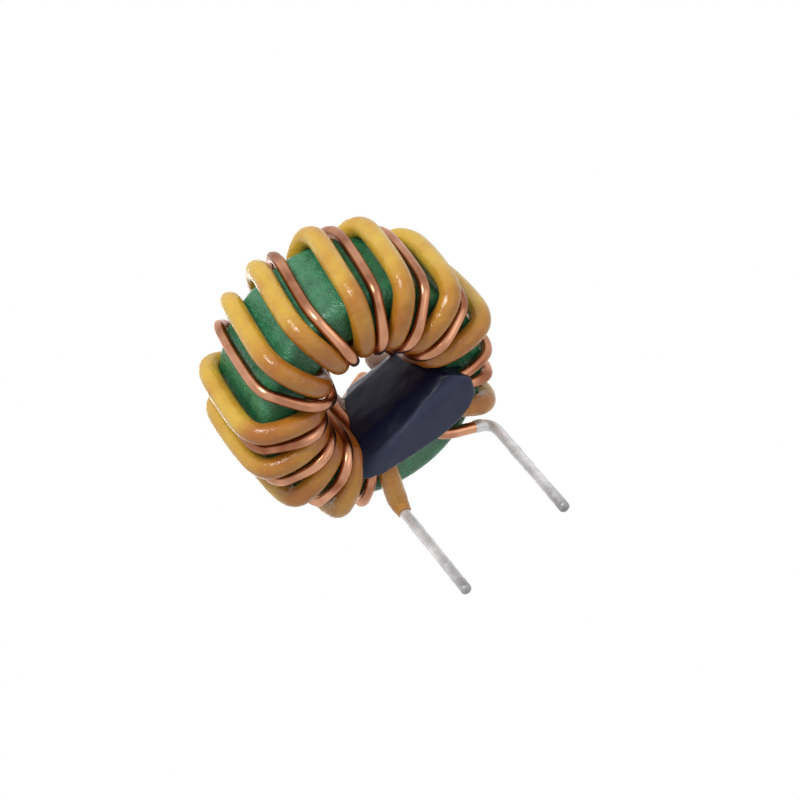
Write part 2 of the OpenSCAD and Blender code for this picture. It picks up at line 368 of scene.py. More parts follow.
@dataclass(frozen=True)
class NavyCompound:
    """Glossy hardened fixing compound, with painted shade darker low in the bore and a paler painted
    reflection on the lip.

    Spans are of height in millimetres.
    """

    # Deep and navy are painted shade: darker low in the bore, towards the lip.
    deep: Colour = (20, 25, 48)
    navy: Colour = (26, 34, 74)
    # Dusk and slate are a painted reflection of pale surroundings on the lip.
    dusk: Colour = (52, 56, 80)
    slate: Colour = (62, 66, 90)
    painted_shade_stops: Pair = (0.0, 1.0)
    lip_reflection_stops: Pair = (0.3, 0.7)
    painted_shade_span: Pair = (1.0, 4.5)
    lip_span: Pair = (0.38, 0.65)
    roughness: float = 0.26
    specular: float = 0.15
    clouds: Grain = Grain(0.6, 3)
    waves: Grain = Grain(1.2, height=0.006)

    def build(self) -> Material:
        """Makes the material."""
        desk = NodeDesk("navy_compound", Roughness=self.roughness, Specular_IOR_Level=self.specular)
        # Painted shade: the face darkens towards the lip.
        depth = desk.fade(desk.height(), self.painted_shade_span, 0.0, 1.0)
        inside = desk.ramp(depth, self.painted_shade_stops, (self.deep, self.navy))
        # Painted reflection: the paler slate on the lip.
        lip = desk.ramp(desk.noise(self.clouds), self.lip_reflection_stops, (self.dusk, self.slate))
        low = desk.fade(desk.height(), self.lip_span, 1.0, 0.0)
        return desk.dress(desk.blend(low, inside, lip), self.waves)


# Mesh helpers


def deselect() -> None:
    """Goes back to object mode, with nothing selected."""
    if bpy.context.object and bpy.context.object.mode != "OBJECT":
        bpy.ops.object.mode_set(mode="OBJECT")
    bpy.ops.object.select_all(action="DESELECT")


def take(piece: Piece) -> None:
    """Selects one piece alone and makes it active."""
    deselect()
    piece.select_set(True)
    bpy.context.view_layer.objects.active = piece


def apply_all(piece: Piece) -> None:
    """Applies a piece's modifiers in order."""
    take(piece)
    for name in [modifier.name for modifier in piece.modifiers]:
        bpy.ops.object.modifier_apply(modifier=name)


def smooth(piece: Piece, degrees: float = 60.0) -> None:
    """Shades a piece smooth, with edges kept past an angle."""
    take(piece)
    bpy.ops.object.shade_smooth_by_angle(angle=math.radians(degrees))


def roughen(piece: Piece, name: str, size_mm: float, height_mm: float) -> None:
    """Moves a mesh in and out by a cloud pattern.

    Args:
        piece: The mesh.
        name: Name of the pattern.
        size_mm: Size of the clouds.
        height_mm: Full range of the movement.
    """
    clouds = bpy.data.textures.new(name, "CLOUDS")
    clouds.noise_scale = size_mm * MM
    clouds.noise_depth = 2
    modifier = piece.modifiers.new(name, "DISPLACE")
    modifier.texture = clouds
    modifier.texture_coords = "LOCAL"
    modifier.strength = height_mm * MM
    modifier.mid_level = 0.5
    apply_all(piece)


def weld() -> None:
    """Joins the corners that lie together, in edit mode, turns faces outward and leaves that mode."""
    bpy.ops.mesh.select_all(action="SELECT")
    bpy.ops.mesh.remove_doubles(threshold=WELD)
    bpy.ops.mesh.normals_make_consistent(inside=False)
    bpy.ops.object.mode_set(mode="OBJECT")


def tube(name: str, path: np.ndarray, radius: np.ndarray, corners: int) -> Piece:
    """A round wire along a path, made as a bevelled curve and turned into a mesh.

    Args:
        name: Name of the piece.
        path: Points in millimetres.
        radius: Radius at each point in millimetres.
        corners: Bevel resolution; the wire has four more than twice as many sides.

    Returns:
        The mesh, closed at both ends.
    """
    deselect()
    bpy.ops.curve.primitive_bezier_curve_add(location=(0, 0, 0))
    piece = bpy.context.object
    piece.name = name
    curve = piece.data
    curve.splines.clear()
    spline = curve.splines.new("POLY")
    spline.points.add(len(path) - 1)
    flat = np.column_stack([path * MM, np.ones(len(path))]).astype(np.float32)
    spline.points.foreach_set("co", flat.ravel())
    spline.points.foreach_set("radius", (radius / radius.max()).astype(np.float32))
    curve.dimensions = "3D"
    curve.twist_mode = "MINIMUM"
    curve.bevel_depth = float(radius.max()) * MM
    curve.bevel_resolution = corners
    curve.use_fill_caps = True
    take(piece)
    bpy.ops.object.convert(target="MESH")
    piece = bpy.context.object
    piece.data.name = name
    bpy.ops.object.mode_set(mode="EDIT")
    weld()
    smooth(piece)
    return piece


def finish_piece(piece: Piece, material: Material, slot: Slot, *nodes: str) -> None:
    """Dresses a piece, ties it to the body, hides the CAD nodes that it replaces and logs its faces.

    Args:
        piece: The mesh.
        material: Its finish.
        slot: The record's material slot; not used.
        nodes: CAD nodes that it replaces.
    """
    piece.data.materials.clear()
    piece.data.materials.append(material)
    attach(piece, BODY)
    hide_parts(*nodes)
    LOG.info("%s: %d faces", piece.name, len(piece.data.polygons))


# Paths


def run_lengths(path: np.ndarray) -> np.ndarray:
    """Length of a path from its start to each of its points."""
    return np.concatenate([[0], np.cumsum(np.linalg.norm(np.diff(path, axis=0), axis=1))])


def even(path: np.ndarray, step: float) -> np.ndarray:
    """Points along a path that are about a step apart."""
    run = run_lengths(path)
    places = np.linspace(0, run[-1], max(2, int(round(run[-1] / step)) + 1))
    return np.column_stack([np.interp(places, run, path[:, axis]) for axis in range(3)])


def eased_path(path: np.ndarray, step: float, reach: float) -> np.ndarray:
    """Takes the corners out of a path, as a springy wire does.

    Args:
        path: Points in millimetres.
        step: Distance between new points.
        reach: Length over which a corner is eased.

    Returns:
        The eased points, with both ends kept.
    """
    points = even(path, step)
    count = max(1, int(round(3 * reach / step)))
    weights = np.exp(-0.5 * (np.arange(-count, count + 1) * step / reach) ** 2)
    weights /= weights.sum()
    head = points[0] + (points[0] - points[1]) * np.arange(count, 0, -1)[:, None]
    tail = points[-1] + (points[-1] - points[-2]) * np.arange(1, count + 1)[:, None]
    long = np.vstack([head, points, tail])
    return np.column_stack([np.convolve(long[:, axis], weights, "valid") for axis in range(3)])


@dataclass(frozen=True)
class RingSizes:
    """Sizes of the coated ring, in millimetres."""

    outer_d: float = 14.0
    inner_d: float = 8.5
    height: float = 6.5
    edge_r: float = 0.6

    @property
    def outer_r(self) -> float:
        """Radius of the outer wall."""
        return self.outer_d / 2

    @property
    def inner_r(self) -> float:
        """Radius of the bore."""
        return self.inner_d / 2

    @property
    def low(self) -> float:
        """Height of the lead-side face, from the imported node."""
        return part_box("toroid_core")[0].z / MM

    @property
    def high(self) -> float:
        """Height of the far face."""
        return self.low + self.height

    @property
    def middle_r(self) -> float:
        """Radius in the middle between the walls."""
        return (self.outer_r + self.inner_r) / 2

    @property
    def middle_z(self) -> float:
        """Height in the middle between the faces."""
        return (self.low + self.high) / 2

    def section(self, points: np.ndarray) -> tuple[np.ndarray, np.ndarray, np.ndarray]:
        """Measures points against the ring's rounded section.

        Args:
            points: Points in millimetres.

        Returns:
            Distances from the axis, distances from the ring, and directions away from it along
            the radius and the height.
        """
        reach = np.hypot(points[:, 0], points[:, 1])
        aside = np.column_stack([reach - self.middle_r, points[:, 2] - self.middle_z])
        half = np.array([(self.outer_r - self.inner_r) / 2, self.height / 2]) - self.edge_r
        past = np.abs(aside) - half
        clear = np.maximum(past, 0)
        length = np.linalg.norm(clear, axis=1)
        distance = length + np.minimum(past.max(axis=1), 0) - self.edge_r
        flat = np.where(past[:, :1] > past[:, 1:], [[1.0, 0.0]], [[0.0, 1.0]])
        away = np.where(length[:, None] > TINY, clear / np.maximum(length, TINY)[:, None], flat)
        return reach, distance, away * np.sign(aside)


@dataclass(frozen=True)
class WindingPlan:
    """Routes of the two wires round the ring, in millimetres and degrees.

    A lift is the height of a wire's middle above the ring.
    """

    ring: RingSizes
    jacket_d: float = 1.2
    enamel_d: float = 0.7
    turns: int = 11
    bore_gap: float = 0.33  # Between two thick passes in the bore
    wire_clear: float = 0.05
    nest_clear: float = 0.04
    jacket_angles: tuple[float, ...] = (141, 166, 190, 210, 245, 263, 291, 315, 341, 365, 410)
    enamel_spare: tuple[float, ...] = (5.5, 6.5, 4.5, 2, 6.5, 2, 3.5, 4.5, 3.5, 10.5, 6.5)
    swap_turn: int = 6  # The thin turn that crosses a thick one
    bore_first: float = 118
    bore_lean: float = 11  # Of a bore pass, from one face to the other
    last_lean: float = 66
    sunk_lift: float = 1.1  # Thin passes at the lead-side end of the bore
    face_lift: float = 1.12  # Thin runs on the lead-side face, where they turn into the bore
    lip_lift: float = 0.9  # The first of these runs, under the compound's lip
    buried_lift: float = 0.75  # The last but one of these runs, in the compound
    buried_low: float = 389  # The last thin pass in the compound, at the lead side
    buried_far: float = 405  # The same pass before it rises to the far side
    buried_z: float = 3.6
    outer_lean: float = 4  # Of a pass on the outer wall
    lead_pitch: float = 7.2
    lead_shift: float = 0.6
    lead_y: float = 7.1
    jacket_tail: float = 0.15
    lead_bend_r: float = 0.7
    lead_bare: float = 0.45
    bend_steps: int = 14
    hairpin_steps: int = 36

    @property
    def touch(self) -> float:
        """Distance between the middles of two wires that lie together."""
        return (self.jacket_d + self.enamel_d) / 2 + self.nest_clear

    @property
    def jacket_lift(self) -> float:
        """Middle of the thick wire above the ring."""
        return self.jacket_d / 2 + self.wire_clear

    @property
    def enamel_lift(self) -> float:
        """Middle of the thin wire above the ring."""
        return self.enamel_d / 2 + self.wire_clear

    @property
    def jacket_in(self) -> float:
        """Distance of the thick wire's bore passes from the axis."""
        return self.ring.inner_r - self.jacket_lift

    @property
    def bore_pitch(self) -> float:
        """Angle between neighbouring thick passes in the bore."""
        return 2 * math.degrees(math.asin((self.jacket_d + self.bore_gap) / 2 / self.jacket_in))

    @property
    def valley_lift(self) -> float:
        """Middle of a thin pass that lies between two thick ones."""
        half = math.radians(self.bore_pitch / 2)
        side = self.jacket_in * math.sin(half)
        depth = math.sqrt(self.touch ** 2 - side ** 2)
        return self.ring.inner_r - (self.jacket_in * math.cos(half) - depth)

    @property
    def over_lift(self) -> float:
        """Middle of a thin pass that rides over a thick one."""
        return self.jacket_lift + self.touch

    @property
    def last_lift(self) -> float:
        """Middle of the last thin pass where it clears the last thick one at the far face."""
        return self.over_lift + self.jacket_in * (1 - math.cos(math.radians(self.last_lean / 2)))

    @property
    def leads(self) -> tuple[Pair, Pair]:
        """Places of the thick wire's lead and of the thin wire's lead."""
        half = self.lead_pitch / 2
        return (self.lead_shift - half, self.lead_y), (self.lead_shift + half, self.lead_y)

    @property
    def jacket_end(self) -> float:
        """Height where the thick wire's jacket ends at its lead."""
        return self.ring.low - 2 * self.jacket_lift - self.jacket_tail

    def beside(self, first: float, second: float) -> float:
        """Angle between two touching wires at their distances from the axis."""
        share = (first ** 2 + second ** 2 - self.touch ** 2) / (2 * first * second)
        return math.degrees(math.acos(share))

    def jacket_angle(self, turn: int) -> float:
        """Outer angle of a thick turn, counted from 1."""
        return self.jacket_angles[turn - 1]

    def enamel_angle(self, turn: int) -> float:
        """Outer angle of a thin turn, counted from 1."""
        apart = self.beside(self.ring.outer_r + self.jacket_lift, self.ring.outer_r + self.enamel_lift)
        spare = apart + self.enamel_spare[turn - 1]
        before = turn < self.swap_turn or turn == self.turns
        return self.jacket_angle(turn) + (-spare if before else spare)

    def jacket_bore(self, turn: float) -> float:
        """Bore angle of a thick pass at the lead side."""
        return self.bore_first + (turn - 1) * self.bore_pitch

    def bend(self, centre: Pair, radii: Pair, start: float, end: float) -> list[Pair]:
        """Distances from the axis and heights of a bend about a centre, from one angle to another."""
        turned = np.radians(np.linspace(start, end, self.bend_steps + 1))
        return [(centre[0] + radii[0] * math.cos(a), centre[1] + radii[1] * math.sin(a)) for a in turned]

    def inner(self, side: Side, lift_r: float, lift_z: float) -> list[Pair]:
        """Bend between a face and the bore, in the wire's direction of travel."""
        start = 270 if side is Side.LEAD else 180
        return self.over_edge(side, self.ring.inner_r + self.ring.edge_r, (lift_r, lift_z), start)

    def outer(self, side: Side, lift_r: float, lift_z: float) -> list[Pair]:
        """Bend between a face and the outer wall, in the wire's direction of travel."""
        start = 0 if side is Side.LEAD else 90
        return self.over_edge(side, self.ring.outer_r - self.ring.edge_r, (lift_r, lift_z), start)

    def over_edge(self, side: Side, middle_r: float, lifts: Pair, start: float) -> list[Pair]:
        """A quarter bend over an edge of one face, from its first angle."""
        edge = self.ring.edge_r
        middle_z = self.ring.low + edge if side is Side.LEAD else self.ring.high - edge
        return self.bend((middle_r, middle_z), (edge + lifts[0], edge + lifts[1]), start, start - 90)

    @staticmethod
    def leaned(section: Sequence[Pair], start: float, end: float) -> list[Point]:
        """A section path that leans smoothly from one angle to another.

        Args:
            section: Distances from the axis and heights.
            start: First angle.
            end: Last angle.

        Returns:
            Distances from the axis, angles and heights.
        """
        flat = np.array(section)
        run = run_lengths(flat)
        share = run / run[-1]
        angle = start + (end - start) * share ** 2 * (3 - 2 * share)
        return list(zip(flat[:, 0], angle, flat[:, 1]))

    @staticmethod
    def placed(route: Sequence[Point], step: float = 0.1) -> np.ndarray:
        """Turns distances, angles and heights into points, following the walls between them.

        Args:
            route: Distances from the axis, angles and heights.
            step: Largest distance between points.

        Returns:
            Points in millimetres.
        """
        dense: list[np.ndarray] = []
        rows = np.array(route)
        for first, second in zip(rows[:-1], rows[1:]):
            arc = math.radians(second[1] - first[1]) * max(first[0], second[0])
            length = math.hypot(second[0] - first[0], second[2] - first[2], arc)
            count = max(1, int(math.ceil(length / step)))
            dense.append(first + (second - first) * (np.arange(count) / count)[:, None])
        dense.append(rows[-1:])
        reach, angle, height = np.vstack(dense).T
        turned = np.radians(angle)
        return np.column_stack([reach * np.cos(turned), reach * np.sin(turned), height])

    def jacket_route(self) -> np.ndarray:
        """Points of the thick wire, from its lead to its hidden end."""
        lift = self.jacket_lift
        lead_x, lead_y = self.leads[0]
        lead_r, lead_angle = math.hypot(lead_x, lead_y), math.degrees(math.atan2(lead_y, lead_x))
        corner = self.bend((lead_r - lift, self.ring.low - 2 * lift), (lift, lift), 0, 90)
        route: list[Point] = [(lead_r, lead_angle, self.jacket_end)]
        route += self.leaned(corner + self.inner(Side.LEAD, lift, lift), lead_angle, self.bore_first)
        for turn in range(1, self.turns + 1):
            lean = self.last_lean if turn == self.turns else self.bore_lean
            far = self.inner(Side.FAR, lift, lift) + self.outer(Side.FAR, lift, lift)
            end = self.jacket_angle(turn) + self.outer_lean
            route += self.leaned(far, self.jacket_bore(turn) + lean, end)
            down = self.outer(Side.LEAD, lift, lift)
            if turn < self.turns:
                down += self.inner(Side.LEAD, lift, lift)
                route += self.leaned(down, self.jacket_angle(turn), self.jacket_bore(turn + 1))
            else:
                down += [(self.ring.inner_r + self.jacket_d / 2, self.ring.low - lift)]
                route += self.leaned(down, self.jacket_angle(turn), self.jacket_angle(turn))
        return self.placed(route)

    def enamel_bore(self, turn: int, side: Side) -> float:
        """Bore angle of a thin pass at one face."""
        if turn == self.turns and side is Side.LEAD:
            return self.buried_low
        swapped = turn >= self.swap_turn if side is Side.FAR else turn > self.swap_turn
        angle = self.jacket_bore(turn + (0.5 if swapped else -0.5))
        return angle + (self.bore_lean if side is Side.FAR else 0)

    def enamel_rise(self, turn: int, side: Side) -> float:
        """Middle of a thin pass above the bore's wall at one face."""
        if turn == self.swap_turn:
            return self.over_lift
        if turn == self.turns:
            return self.last_lift if side is Side.FAR else self.enamel_lift
        if turn == 1:
            return self.enamel_lift
        return self.valley_lift if side is Side.FAR else self.sunk_lift

    def enamel_route(self) -> np.ndarray:
        """Points of the thin wire, from its hidden joint to its tinned end."""
        lift = self.enamel_lift
        joint_r = self.ring.inner_r - lift
        apart = self.beside(self.jacket_in, joint_r)
        joint = self.bore_first - apart
        far_in, far_out = self.over_lift, self.jacket_lift + self.enamel_d / 2
        beside_last = self.jacket_bore(self.turns) + self.last_lean - 360 + apart
        route: list[Point] = [(joint_r, joint, self.ring.low + self.ring.edge_r)]
        for turn in range(1, self.turns + 1):
            start = beside_last if turn == 1 else self.enamel_bore(turn, Side.FAR)
            rises = (lift, lift) if turn == 1 else (far_in, far_out)
            far = self.inner(Side.FAR, self.enamel_rise(turn, Side.FAR), rises[0])
            far += self.outer(Side.FAR, lift, rises[1])
            if turn == self.turns:
                route.append((joint_r, self.buried_far, self.ring.low + self.buried_z))
            route += self.leaned(far, start, self.enamel_angle(turn) + self.outer_lean)
            down = self.outer(Side.LEAD, lift, lift)
            if turn < self.turns:
                lift_z = {1: self.lip_lift, self.turns - 1: self.buried_lift}.get(turn, self.face_lift)
                down += self.inner(Side.LEAD, self.enamel_rise(turn + 1, Side.LEAD), lift_z)
                route += self.leaned(down, self.enamel_angle(turn), self.enamel_bore(turn + 1, Side.LEAD))
            else:
                route += self.leaned(down, self.enamel_angle(turn), self.enamel_angle(turn))
        return np.vstack([self.placed(route), self.hairpin()])

    @property
    def run_angle(self) -> float:
        """Direction of the thin wire's last run, in radians."""
        return math.radians(self.enamel_angle(self.turns))

    def hairpin(self) -> np.ndarray:
        """Points of the thin wire's turn under the compound and of its way out."""
        along = np.array([math.cos(self.run_angle), math.sin(self.run_angle)])
        across = np.array([-along[1], along[0]])
        lead = np.array(self.leads[1])
        width = float(lead @ across)
        turn = np.radians(np.linspace(0, 180, self.hairpin_steps + 1))
        start = self.ring.inner_r + self.enamel_d / 2
        reach = np.append(start - width / 2 * np.sin(turn), lead @ along - self.lead_bend_r - self.lead_bare)
        aside = np.append(width / 2 * (1 - np.cos(turn)), width)
        flat = reach[:, None] * along + aside[:, None] * across
        return np.column_stack([flat, np.full(len(flat), self.ring.low - self.enamel_lift)])


# Sub-assemblies


@dataclass
class ToroidCore:
    """The ring with its uneven epoxy coat."""

    sizes: RingSizes
    spokes: int = 180
    face_cuts: int = 10
    edge_cuts: int = 5
    coat_wave: float = 0.03
    wave_size: float = 1.1
    sharp_angle: float = 80.0

    def build(self, material: Material) -> None:
        """Turns the section round the axis and dresses it.

        Args:
            material: The coat's finish.
        """
        ring = self.sizes
        deselect()
        bpy.ops.mesh.primitive_plane_add(size=1, location=(0, 0, 0), rotation=(math.pi / 2, 0, 0))
        piece = bpy.context.object
        piece.name = "coated_ring"
        piece.scale = ((ring.outer_r - ring.inner_r) * MM, ring.height * MM, 1)
        piece.location = (ring.middle_r * MM, 0, ring.middle_z * MM)
        take(piece)
        bpy.ops.object.transform_apply(location=True, rotation=True, scale=True)
        bpy.ops.object.mode_set(mode="EDIT")
        bpy.ops.mesh.select_all(action="SELECT")
        bpy.ops.mesh.bevel(offset=ring.edge_r * MM, segments=self.edge_cuts, affect="VERTICES")
        bpy.ops.mesh.select_all(action="SELECT")
        bpy.ops.mesh.delete(type="ONLY_FACE")
        self.cut_long_edges(piece)
        bpy.ops.mesh.select_all(action="SELECT")
        bpy.ops.mesh.spin(steps=self.spokes, angle=2 * math.pi, center=(0, 0, 0), axis=(0, 0, 1))
        weld()
        roughen(piece, "coat_waves", self.wave_size, self.coat_wave)
        smooth(piece, self.sharp_angle)
        finish_piece(piece, material, Slot.CORE, "toroid_core")

    def cut_long_edges(self, piece: Piece) -> None:
        """Cuts the straight sides of the section, which are in edit mode.

        Args:
            piece: The section.
        """
        bpy.ops.mesh.select_mode(type="EDGE")
        bpy.ops.mesh.select_all(action="DESELECT")
        bpy.ops.object.mode_set(mode="OBJECT")
        corners = piece.data.vertices
        for edge in piece.data.edges:
            first, second = (corners[index].co for index in edge.vertices)
            edge.select = (first - second).length > self.sizes.edge_r * MM
        bpy.ops.object.mode_set(mode="EDIT")
        bpy.ops.mesh.subdivide(number_cuts=self.face_cuts)
        bpy.ops.mesh.select_mode(type="VERT")


@dataclass
class Windings:
    """The thick jacketed wire and the thin enamelled one, in millimetres."""

    plan: WindingPlan
    step: float = 0.14
    ease: float = 0.55
    bow: float = 0.2
    face_bow: float = 0.12
    ring_clear: float = 0.01
    sway: float = 0.05
    sway_length: float = 3.5
    calm_end: float = 4.0
    jacket_seed: Pair = (2.0, 0.5)
    enamel_seed: Pair = (9.0, 0.5)
    swell: float = 1.05
    strip_share: float = 0.72
    strip_length: float = 0.9
    jacket_corners: int = 8
    enamel_corners: int = 6

    def sprung(self, path: np.ndarray, radius: float) -> np.ndarray:
        """Bows a wire off the outer wall and the faces and rounds its bends, clear of the ring.

        Args:
            path: Points in millimetres.
            radius: Radius of the wire.

        Returns:
            The sprung points.
        """
        ring = self.plan.ring
        points = even(path, self.step)
        reach, _, away = ring.section(points)
        rise = np.clip(1 - ((points[:, 2] - ring.middle_z) / (ring.height / 2 + radius)) ** 2, 0, 1)
        wall = np.clip((reach - ring.outer_r) / radius, 0, 1)
        span = (reach - ring.inner_r) / (ring.outer_r - ring.inner_r)
        face = np.clip(4 * span * (1 - span), 0, 1) * np.abs(away[:, 1])
        points = self.moved(points, self.bow * rise * wall, np.array([[1.0, 0.0]]))
        points = self.moved(points, self.face_bow * face, away * [0.0, 1.0])
        for ease in (self.ease, self.ease / 3):
            points = eased_path(points, self.step, ease)
            _, distance, away = ring.section(points)
            points = self.moved(points, np.maximum(0, radius + self.ring_clear - distance), away)
        return eased_path(points, self.step, self.step)

    @staticmethod
    def moved(points: np.ndarray, far: np.ndarray, away: np.ndarray) -> np.ndarray:
        """Moves points by distances along directions, given by radius and height for each or for all."""
        out = far * away[:, 0] / np.maximum(np.hypot(points[:, 0], points[:, 1]), TINY)
        up = far * away[:, 1]
        return np.column_stack([points[:, 0] * (1 + out), points[:, 1] * (1 + out), points[:, 2] + up])

    def swayed(self, path: np.ndarray, seed: Pair) -> np.ndarray:
        """Lets a wire stray a little sideways, as a hand-wound one does.

        Args:
            path: Points in millimetres.
            seed: Keeps the two wires apart.

        Returns:
            The strayed points.
        """
        result = path.copy()
        for index, (x, y, _) in enumerate(path):
            drift = noise.noise(Vector((index * self.step / self.sway_length, *seed)))
            reach = math.hypot(x, y)
            calm = min(1.0, min(index, len(path) - 1 - index) * self.step / self.calm_end)
            result[index, 0] -= y / reach * drift * self.sway * calm
            result[index, 1] += x / reach * drift * self.sway * calm
        return result

    def build(self, jacket: Material, enamel: Material) -> None:
        """Winds both wires.

        Args:
            jacket: Finish of the thick wire.
            enamel: Finish of the thin wire.
        """
        plan = self.plan
        thick = self.swayed(self.sprung(plan.jacket_route(), plan.jacket_d / 2), self.jacket_seed)
        thin = self.swayed(self.sprung(plan.enamel_route(), plan.enamel_d / 2), self.enamel_seed)
        full = np.clip(np.arange(len(thick)) * self.step / self.strip_length, 0, 1)
        girth = plan.jacket_d / 2 * self.swell * (self.strip_share + (1 - self.strip_share) * full)
        first = tube("jacketed_wire", thick, girth, self.jacket_corners)
        second = tube("enamelled_wire", thin, np.full(len(thin), plan.enamel_d / 2), self.enamel_corners)
        finish_piece(first, jacket, Slot.JACKET, "insulated_winding")
        finish_piece(second, enamel, Slot.ENAMEL, "enamelled_winding")


@dataclass
class TinnedLeads:
    """The two stripped and dipped wire ends, in millimetres."""

    plan: WindingPlan
    radius: float = 0.325
    step: float = 0.08
    ease: float = 0.1
    hidden: float = 0.4
    bend_steps: int = 12
    corners: int = 8
    drift: float = 0.05
    drift_length: float = 0.9
    blob: float = 0.06
    blob_at: float = 0.25
    blob_width: float = 0.35
    tip_round: float = 0.16
    tip_share: float = 0.45
    tip_least: float = 0.04
    dip_size: float = 0.5
    dip_wave: float = 0.05
    sharp_angle: float = 70.0

    @property
    def tip(self) -> float:
        """Height of the tips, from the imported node."""
        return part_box("insulated_lead")[0].z / MM

    def girths(self, path: np.ndarray, blob: float, seed: float) -> np.ndarray:
        """Radius of the tin along a lead.

        Args:
            path: Points from the winding to the tip.
            blob: Extra girth where the tin starts.
            seed: Keeps the two leads apart.

        Returns:
            Radii in millimetres.
        """
        run = np.arange(len(path)) * self.step
        left = run[-1] - run
        drift = np.array([noise.noise(Vector((place / self.drift_length, seed, 0))) for place in run])
        swell = blob * np.exp(-((run - self.blob_at) / self.blob_width) ** 2)
        girth = self.radius * (1 + self.drift * drift) + swell
        cap = np.clip(1 - (1 - np.clip(left / self.tip_round, 0, 1)) ** 2, self.tip_least, 1)
        return girth * (self.tip_share + (1 - self.tip_share) * np.sqrt(cap))

    def build(self, material: Material) -> None:
        """Makes both leads.

        Args:
            material: The tin's finish.
        """
        plan = self.plan
        (first_x, first_y), (second_x, second_y) = plan.leads
        straight = np.array([(first_x, first_y, plan.jacket_end + self.hidden), (first_x, first_y, self.tip)])
        along = np.array([math.cos(plan.run_angle), math.sin(plan.run_angle)])
        high = plan.ring.low - plan.enamel_lift
        bend = plan.lead_bend_r
        turned = np.radians(np.linspace(90, 0, self.bend_steps + 1))
        reach = np.append(-bend - plan.lead_bare, bend * np.cos(turned) - bend)
        drop = np.append(0.0, bend * np.sin(turned) - bend)
        corner = [(second_x + along[0] * r, second_y + along[1] * r, high + d) for r, d in zip(reach, drop)]
        bent = np.array(corner + [(second_x, second_y, self.tip)])
        for name, path, blob, seed, node in (
            ("jacketed_wire_lead", straight, 0.0, 1.0, "insulated_lead"),
            ("enamelled_wire_lead", bent, self.blob, 5.0, "enamelled_lead"),
        ):
            spaced = eased_path(path, self.step, self.ease)
            piece = tube(name, spaced, self.girths(spaced, blob, seed), self.corners)
            roughen(piece, name + "_dip", self.dip_size, self.dip_wave)
            smooth(piece, self.sharp_angle)
            finish_piece(piece, material, Slot.TIN, node)


@dataclass
class BoreCompound:
    """Fixing compound in the bore, with a lip over the lead-side face.

    It is given by its corners: X, Y and how far they stand out from the lead-side face, in millimetres.
    """

    ring: RingSizes
    grain: float = 0.1
    soften: int = 8
    soften_share: float = 0.5
    wave_size: float = 1.8
    wave: float = 0.09
    sharp_angle: float = 80.0
    corners: tuple[Point, ...] = (
        (-1.45, 1.95, -3.75), (0.6, 1.82, -3.65), (2.85, 1.58, -3.5), (-1.05, 2.4, -4.75), (3.2, 2.2, -4.45),
        (3.5, 2.4, -3.6), (2.2, 3.58, -4.7), (0.5, 4.17, -4.85), (-1.2, 4.02, -4.85), (-1.5, 3.8, -3.6),
        (-2.15, 1.88, -1.6), (-2.35, 1.9, -0.2), (-2.3, 3.4, -1.5), (3.1, 1.35, -2.4), (3.3, 1.2, -1.2),
        (3.5, 1.12, 0.0), (3.65, 1.15, 0.7), (4.1, 1.3, 1.15), (4.65, 1.95, 1.4), (-3.6, 3.05, 1.1),
        (-3.4, 2.6, 0.95), (-1.4, 2.95, 1.5), (-0.2, 2.1, 1.5), (1.8, 2.0, 1.5), (3.35, 2.3, 1.5),
        (4.9, 2.4, 1.5), (4.6, 3.6, 1.35), (3.6, 4.25, 1.35), (2.5, 4.4, 1.4), (1.4, 4.42, 1.4),
        (-1.1, 4.05, 1.4), (-2.4, 3.82, 1.35), (-3.35, 3.45, 1.25), (-3.6, 3.1, 0.0), (-2.4, 3.8, 0.0),
        (1.4, 4.3, 0.0), (3.6, 4.25, 0.0), (4.7, 3.5, 0.0), (4.9, 2.4, 0.0),
    )

    def build(self, material: Material) -> None:
        """Stretches a body over the corners, melts its edges and dresses it.

        Args:
            material: The compound's finish.
        """
        deselect()
        bpy.ops.mesh.primitive_circle_add(vertices=len(self.corners), radius=MM, location=(0, 0, 0))
        piece = bpy.context.object
        piece.name = "fixing_compound"
        piece.data.name = "fixing_compound"
        for corner, (x, y, out) in zip(piece.data.vertices, self.corners):
            corner.co = (x * MM, y * MM, (self.ring.low - out) * MM)
        bpy.ops.object.mode_set(mode="EDIT")
        bpy.ops.mesh.select_all(action="SELECT")
        bpy.ops.mesh.convex_hull()
        bpy.ops.mesh.normals_make_consistent(inside=False)
        bpy.ops.object.mode_set(mode="OBJECT")
        melt = piece.modifiers.new("melt", "REMESH")
        melt.mode = "VOXEL"
        melt.voxel_size = self.grain * MM
        soft = piece.modifiers.new("soften", "SMOOTH")
        soft.factor = self.soften_share
        soft.iterations = self.soften
        apply_all(piece)
        roughen(piece, "compound_waves", self.wave_size, self.wave)
        smooth(piece, self.sharp_angle)
        finish_piece(piece, material, Slot.COMPOUND, "bore_compound")


# Studio


